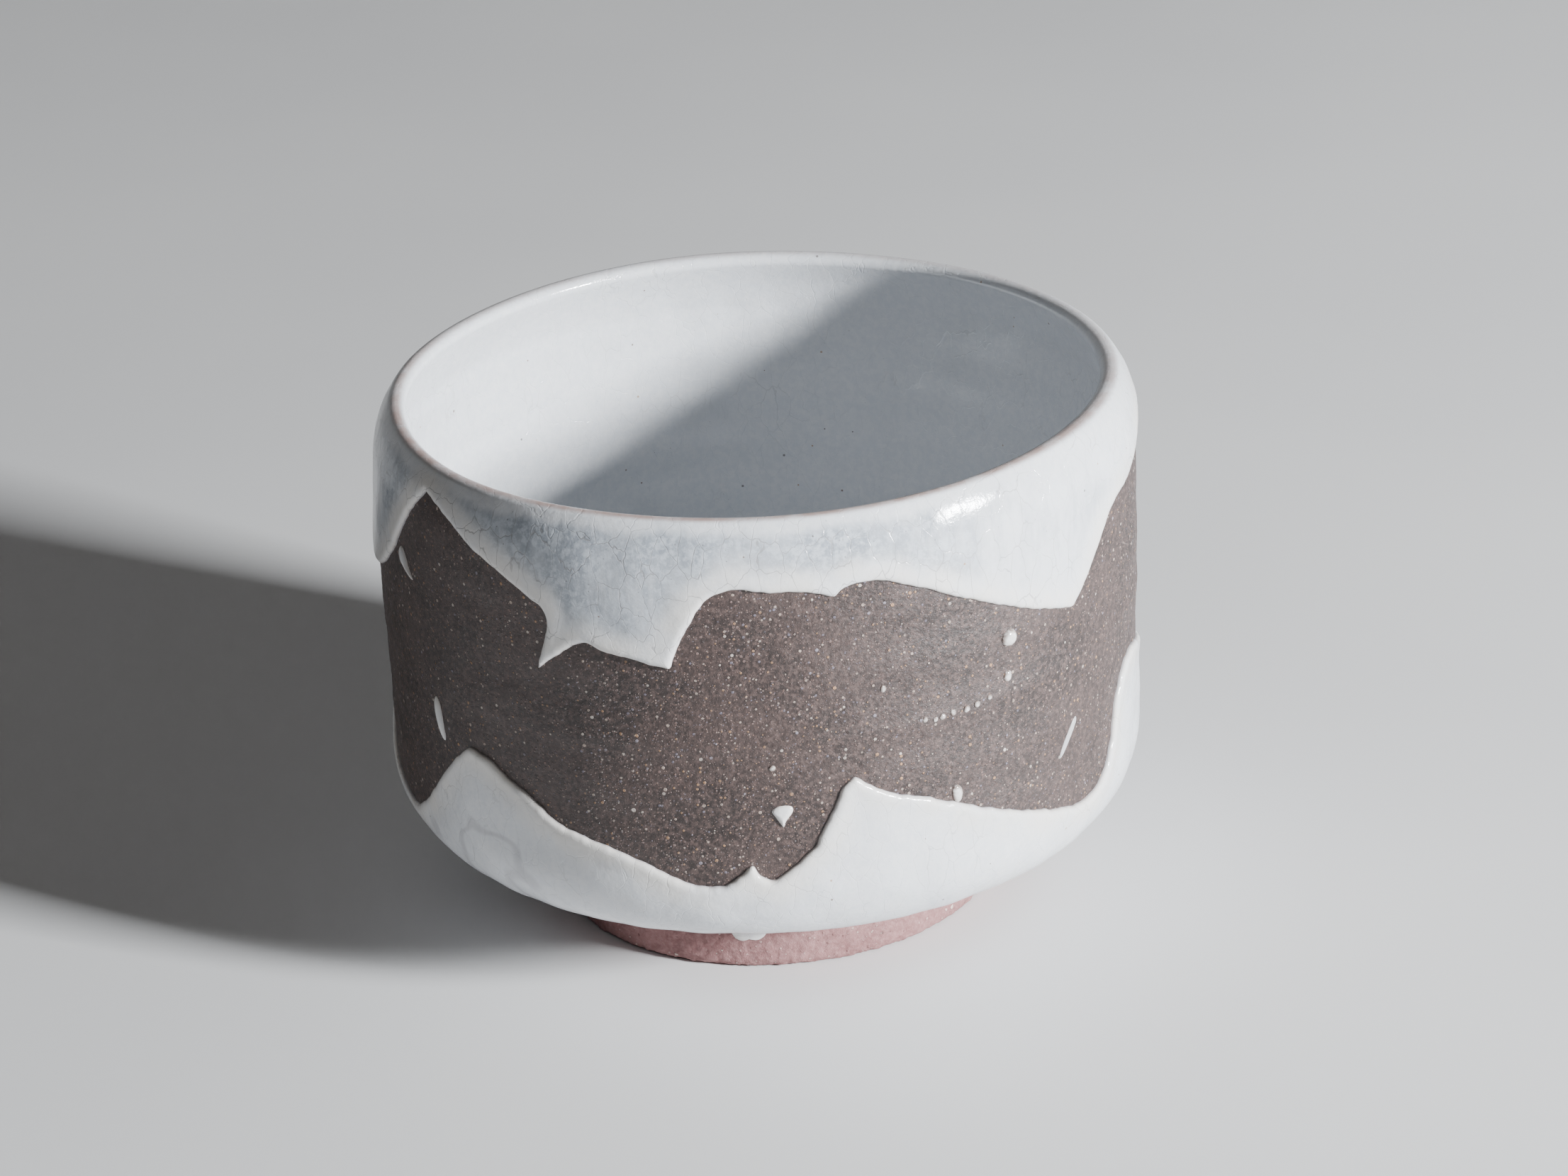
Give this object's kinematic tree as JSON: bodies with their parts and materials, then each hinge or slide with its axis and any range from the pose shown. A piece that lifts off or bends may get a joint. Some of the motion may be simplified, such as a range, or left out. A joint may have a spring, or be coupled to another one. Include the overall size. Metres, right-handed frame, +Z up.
{
  "type": "matcha bowl",
  "caption": "Straight-sided tea bowl of dark sandy clay on a low foot ring, with white glaze ladled over the lip and the foot and an open dark band between.",
  "frame": {"origin": "centre of the foot ring's resting circle, on the surface that the bowl stands on", "axes": "+Z up through the middle of the mouth, -Y towards the front of the bowl, +X to the viewer's right"},
  "size_m": [0.12, 0.12, 0.085],
  "materials": {
    "bare_clay": "unglazed, coarse and sandy, matte",
    "iron_slip": "dark iron slip over sandy clay, satin, speckled with pale grains",
    "white_glaze": "thick white glaze, glossy, fine crackle, cream at its edges",
    "clear_glaze": "clear glassy beads of glaze, glossy"
  },
  "bodies": {
    "root": {"clay_wall": "bare_clay", "foot_ring": "bare_clay", "slip_coat": "iron_slip", "inside_glaze": "white_glaze", "upper_glaze": "white_glaze", "lower_glaze": "white_glaze", "glaze_splashes": "white_glaze", "glaze_beads": "clear_glaze", "foot_run": "white_glaze"}
  },
  "joints": []
}
